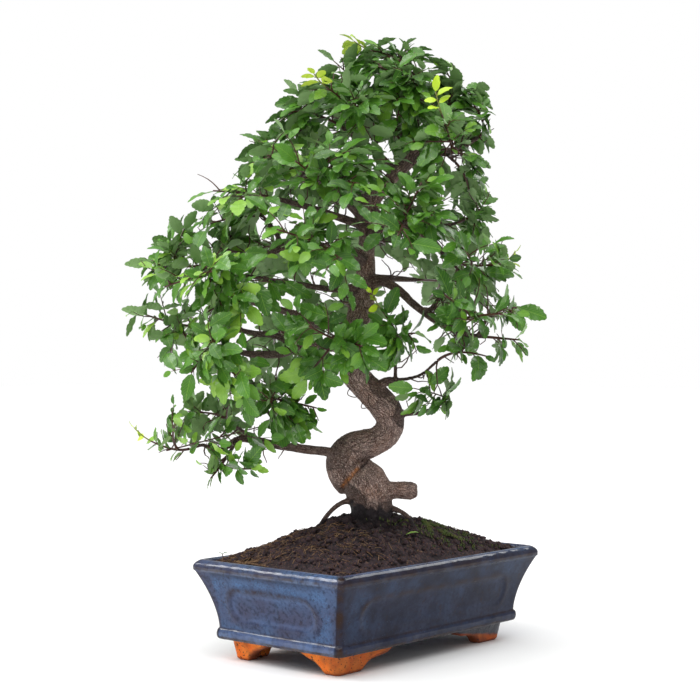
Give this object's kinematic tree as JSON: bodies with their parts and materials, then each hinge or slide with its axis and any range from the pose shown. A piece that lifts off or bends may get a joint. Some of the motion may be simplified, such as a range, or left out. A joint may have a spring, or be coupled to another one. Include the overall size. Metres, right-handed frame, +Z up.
{
  "type": "chinese elm bonsai in a glazed pot",
  "caption": "Informal S-trunk chinese elm bonsai with small serrated leaves, on a soil mound in a rectangular blue-glazed pot with cloud-cut feet.",
  "frame": {"origin": "middle of the pot's footprint on the surface that it stands on, which is also below the middle of the crown", "axes": "+Z up, +X along the pot's long side, -Y out of its long front side; the tree's front looks half along -Y and half along -X, 49 degrees round from the long side"},
  "size_m": [0.2593, 0.255, 0.3901],
  "materials": {
    "glaze": "gloss",
    "soil": "matte",
    "drain_mesh": "matte",
    "bark": "matte",
    "leaf": "satin",
    "young_leaf": "satin"
  },
  "bodies": {
    "root": {"pot": "glaze", "soil": "soil", "drain_mesh_1": "drain_mesh", "drain_mesh_2": "drain_mesh", "trunk": "bark", "leafy_shoot_01": "leaf", "leafy_shoot_02": "leaf", "leafy_shoot_03": "leaf", "leafy_shoot_04": "leaf", "leafy_shoot_05": "leaf", "leafy_shoot_06": "leaf", "leafy_shoot_07": "leaf", "leafy_shoot_08": "leaf", "leafy_shoot_09": "leaf", "leafy_shoot_10": "leaf", "leafy_shoot_11": "leaf", "leafy_shoot_12": "leaf", "leafy_shoot_13": "leaf", "leafy_shoot_14": "leaf", "leafy_shoot_15": "leaf", "leafy_shoot_16": "leaf", "leafy_shoot_17": "leaf", "leafy_shoot_18": "leaf", "leafy_shoot_19": "leaf", "leafy_shoot_20": "leaf", "leafy_shoot_21": "leaf", "leafy_shoot_22": "leaf", "leafy_shoot_23": "leaf", "leafy_shoot_24": "leaf", "leafy_shoot_25": "leaf", "leafy_shoot_26": "leaf", "leafy_shoot_27": "leaf", "leafy_shoot_28": "leaf", "leafy_shoot_29": "leaf", "leafy_shoot_30": "leaf", "leafy_shoot_31": "leaf", "leafy_shoot_32": "leaf", "leafy_shoot_33": "leaf", "leafy_shoot_34": "leaf", "leafy_shoot_35": "leaf", "leafy_shoot_36": "leaf", "leafy_shoot_37": "leaf", "leafy_shoot_38": "leaf", "leafy_shoot_39": "leaf", "leafy_shoot_40": "leaf", "leafy_shoot_41": "leaf", "leafy_shoot_42": "leaf", "leafy_shoot_43": "leaf", "leafy_shoot_44": "leaf", "leafy_shoot_45": "leaf", "leafy_shoot_46": "leaf", "leafy_shoot_47": "leaf", "leafy_shoot_48": "leaf", "leafy_shoot_49": "leaf", "young_tip_1": "young_leaf", "young_tip_2": "young_leaf", "young_tip_3": "young_leaf", "young_tip_4": "young_leaf", "young_tip_5": "young_leaf", "young_tip_6": "young_leaf"}
  },
  "joints": []
}
